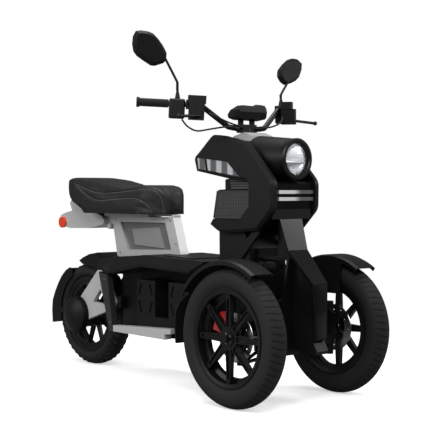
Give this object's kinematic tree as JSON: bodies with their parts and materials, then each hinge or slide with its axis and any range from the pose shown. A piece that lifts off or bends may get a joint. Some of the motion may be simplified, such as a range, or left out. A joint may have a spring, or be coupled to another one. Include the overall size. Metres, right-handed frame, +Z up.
{
  "type": "electric three-wheel scooter",
  "caption": "Electric scooter with paired leaning-type front wheels, one driven rear wheel, a flat foot deck, a C-shaped head fairing, a stepped seat and a swept handlebar.",
  "frame": {"origin": "on the ground, at the middle of the bounding box in X and Y", "axes": "+Z up, -Y the way it drives, +X the rider's left"},
  "size_m": [0.909, 1.8598, 1.4638],
  "materials": {
    "tyre": "rubber, slightly dusty",
    "black_rim": "satin black",
    "brake_steel": "satin",
    "black_metal": "satin black",
    "red_caliper": "gloss",
    "black_plastic": "matt",
    "silver": "satin",
    "grey_plastic": "satin",
    "lens_clear": "clear",
    "lens_white": "gloss",
    "lens_orange": "gloss",
    "seat_cover": "matt, stitched",
    "cable_rubber": "matt",
    "grip_rubber": "matt"
  },
  "bodies": {
    "chassis": {"main_frame": "black_metal", "deck_body": "black_plastic", "side_posts": "grey_plastic", "sills": "silver", "battery_blocks": "black_plastic", "belly_tray": "black_metal", "splash_guards": "black_plastic", "leg_column": "black_plastic", "side_fairings": "black_plastic", "front_lenses": "lens_white", "head_core": "black_plastic", "side_grilles": "black_plastic", "headlight_barrel": "black_plastic", "headlight_ring": "black_metal", "headlight_lens": "lens_clear", "face_panel": "black_plastic", "nose_strut": "black_metal", "keel": "black_plastic", "swingarm": "silver", "hub_covers": "black_plastic", "rear_mudguards": "black_plastic", "seat_tower": "silver", "tower_inserts": "grey_plastic", "tail_frame": "silver", "rear_lamps": "lens_orange", "suspension_arms": "black_metal", "cross_spring": "silver", "cowl_cap": "silver"},
    "steering": {"handlebar": "black_metal", "grips": "grip_rubber", "switch_housings": "black_plastic", "brake_controls": "black_metal", "mirrors": "black_plastic", "instrument": "black_plastic", "control_cables": "cable_rubber"},
    "seat": {"seat_base": "silver", "seat_cushion": "seat_cover"},
    "rear_wheel": {"rear_tyre": "tyre", "rear_rim": "black_rim"},
    "steering_arm_body": {"steering_arm": "black_metal"},
    "knuckle_body_left": {"knuckle_left": "black_metal", "front_caliper_left": "red_caliper", "front_fender_left": "black_plastic"},
    "front_wheel_left": {"front_tyre_left": "tyre", "front_rim_left": "black_rim", "front_disc_left": "brake_steel"},
    "tie_rod_body_left": {"tie_rod_left": "silver"},
    "knuckle_body_right": {"knuckle_right": "black_metal", "front_caliper_right": "red_caliper", "front_fender_right": "black_plastic"},
    "front_wheel_right": {"front_tyre_right": "tyre", "front_rim_right": "black_rim", "front_disc_right": "brake_steel"},
    "tie_rod_body_right": {"tie_rod_right": "silver"}
  },
  "joints": [
    {"name": "steering_turn", "type": "hinge", "parent": "chassis", "child": "steering", "pos_m": [0, -0.424, 1.083], "axis": [0, 0.2588, 0.9659], "range_deg": [-30, 30]},
    {"name": "steering_arm_turn", "type": "hinge", "parent": "chassis", "child": "steering_arm_body", "pos_m": [0, -0.66, 0.242], "axis": [0, 0, 1], "range_deg": [-30, 30]},
    {"name": "seat_lid", "type": "hinge", "parent": "chassis", "child": "seat", "pos_m": [0, 0.037, 0.718], "axis": [1, 0, 0], "range_deg": [0, 70]},
    {"name": "rear_wheel_spin", "type": "hinge", "parent": "chassis", "child": "rear_wheel", "pos_m": [0, 0.652, 0.243], "axis": [1, 0, 0], "continuous": true},
    {"name": "knuckle_turn_left", "type": "hinge", "parent": "chassis", "child": "knuckle_body_left", "pos_m": [0.245, -0.66, 0.27], "axis": [0, 0, 1], "range_deg": [-30, 30]},
    {"name": "tie_rod_turn_left", "type": "hinge", "parent": "knuckle_body_left", "child": "tie_rod_body_left", "pos_m": [0.245, -0.585, 0.242], "axis": [0, 0, 1], "range_deg": [-30, 30]},
    {"name": "front_wheel_spin_left", "type": "hinge", "parent": "knuckle_body_left", "child": "front_wheel_left", "pos_m": [0.285, -0.66, 0.27], "axis": [1, 0, 0], "continuous": true},
    {"name": "knuckle_turn_right", "type": "hinge", "parent": "chassis", "child": "knuckle_body_right", "pos_m": [-0.245, -0.66, 0.27], "axis": [0, 0, 1], "range_deg": [-30, 30]},
    {"name": "tie_rod_turn_right", "type": "hinge", "parent": "knuckle_body_right", "child": "tie_rod_body_right", "pos_m": [-0.245, -0.585, 0.242], "axis": [0, 0, 1], "range_deg": [-30, 30]},
    {"name": "front_wheel_spin_right", "type": "hinge", "parent": "knuckle_body_right", "child": "front_wheel_right", "pos_m": [-0.285, -0.66, 0.27], "axis": [1, 0, 0], "continuous": true}
  ],
  "couplings": [
    {"joint": "steering_arm_turn", "follows": "steering_turn", "ratio": 1},
    {"joint": "knuckle_turn_left", "follows": "steering_turn", "ratio": 1},
    {"joint": "tie_rod_turn_left", "follows": "steering_turn", "ratio": -1},
    {"joint": "knuckle_turn_right", "follows": "steering_turn", "ratio": 1},
    {"joint": "tie_rod_turn_right", "follows": "steering_turn", "ratio": -1}
  ]
}
